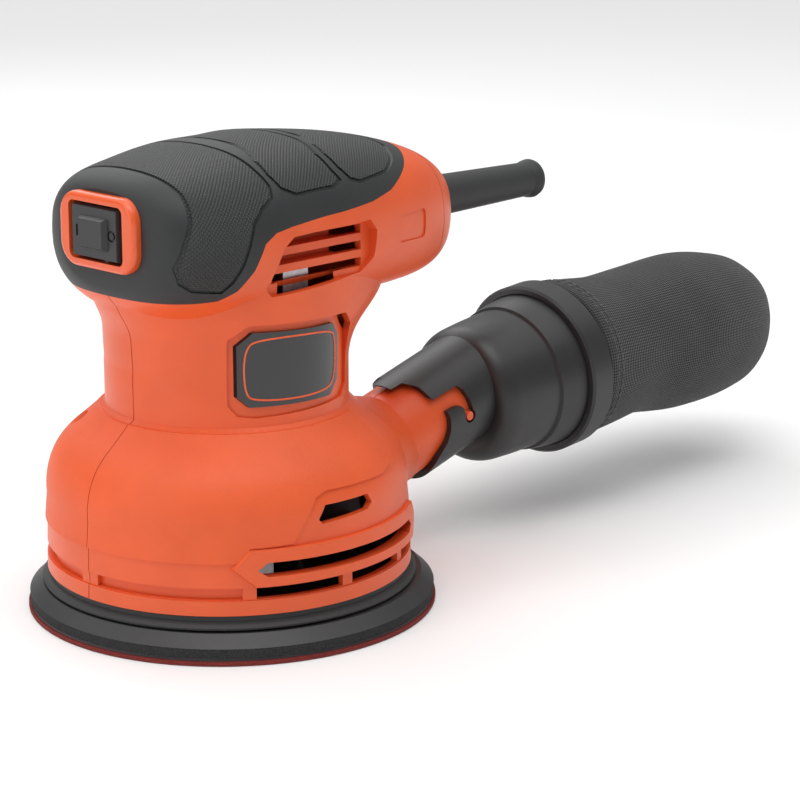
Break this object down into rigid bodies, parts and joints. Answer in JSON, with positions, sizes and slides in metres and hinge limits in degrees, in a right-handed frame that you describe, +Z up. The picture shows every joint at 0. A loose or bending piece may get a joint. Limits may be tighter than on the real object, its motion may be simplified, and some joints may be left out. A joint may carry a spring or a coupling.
{
  "type": "orbital sander",
  "caption": "Palm random-orbit sander with a domed grip, rocker switch, round hook-and-loop sanding pad, bayonet dust outlet and cloth dust bag.",
  "frame": {"origin": "motor axis at the working face of the sanding disc", "axes": "+X to the rear, towards the strain relief and the dust bag; -X to the switch; +Z up along the motor axis"},
  "size_m": [0.323, 0.125, 0.1426],
  "materials": {
    "orange_plastic": "fine grained moulding",
    "black_rubber": "soft grip with a fine diamond texture",
    "black_plastic": "fine matt moulding",
    "glossy_black": "smooth",
    "grey_plastic": "matt",
    "steel": "ground",
    "copper": "enamelled wire",
    "lamination": "stacked sheets",
    "alloy": "as cast",
    "carbon": "pressed carbon",
    "foam": "closed cell foam",
    "hook": "hook fastener",
    "abrasive": "coated abrasive paper",
    "bag_cloth": "fine woven filter cloth"
  },
  "bodies": {
    "housing": {"left_housing": "orange_plastic", "right_housing": "orange_plastic", "rear_cap": "orange_plastic", "grip_cover": "black_rubber", "switch_bezel": "orange_plastic", "rocker_pin": "steel", "switch_body": "black_plastic", "left_badge": "glossy_black", "right_badge": "glossy_black", "housing_screws": "steel", "strain_relief": "black_rubber", "cord_clamp": "black_plastic", "clamp_screws": "steel", "terminal_block": "grey_plastic", "capacitor": "grey_plastic", "stator_core": "lamination", "stator_coils": "copper", "upper_bearing": "steel", "lower_bearing": "steel", "bearing_boot": "black_rubber", "motor_plate": "alloy", "brush_holders": "alloy", "carbon_brushes": "carbon", "brush_springs": "steel", "brake_ring": "black_rubber", "outlet_seal": "black_rubber"},
    "rotor": {"motor_shaft": "steel", "armature_core": "lamination", "armature_windings": "copper", "commutator": "copper", "cooling_fan": "grey_plastic", "counterweight": "alloy", "pad_bearing": "steel"},
    "pad": {"pad_spindle": "steel", "backing_platen": "black_plastic", "pad_bolt": "steel", "pad_washer": "steel", "foam_pad": "foam", "hook_layer": "hook", "sanding_disc": "abrasive"},
    "rocker": {"rocker_button": "black_plastic"},
    "adapter": {"dust_adapter": "black_plastic"},
    "bag": {"bag_ring": "black_plastic", "dust_bag": "bag_cloth"}
  },
  "joints": [
    {"name": "rotor_spin", "type": "hinge", "parent": "housing", "child": "rotor", "pos_m": [0, 0, 0.035], "axis": [0, 0, 1], "continuous": true},
    {"name": "pad_spin", "type": "hinge", "parent": "rotor", "child": "pad", "pos_m": [0.001, 0, 0.019], "axis": [0, 0, 1], "continuous": true},
    {"name": "rocker_tilt", "type": "hinge", "parent": "housing", "child": "rocker", "pos_m": [-0.0445, 0, 0.1205], "axis": [0, 0, 1], "range_deg": [-7, 7]},
    {"name": "dust_box_twist", "type": "hinge", "parent": "housing", "child": "adapter", "pos_m": [0.09, 0, 0.0428], "axis": [0.9613, 0, 0.2756], "range_deg": [0, 21]},
    {"name": "bag_pull", "type": "slide", "parent": "adapter", "child": "bag", "axis": [0.9962, 0, 0.0872], "range_m": [0, 0.04]}
  ]
}
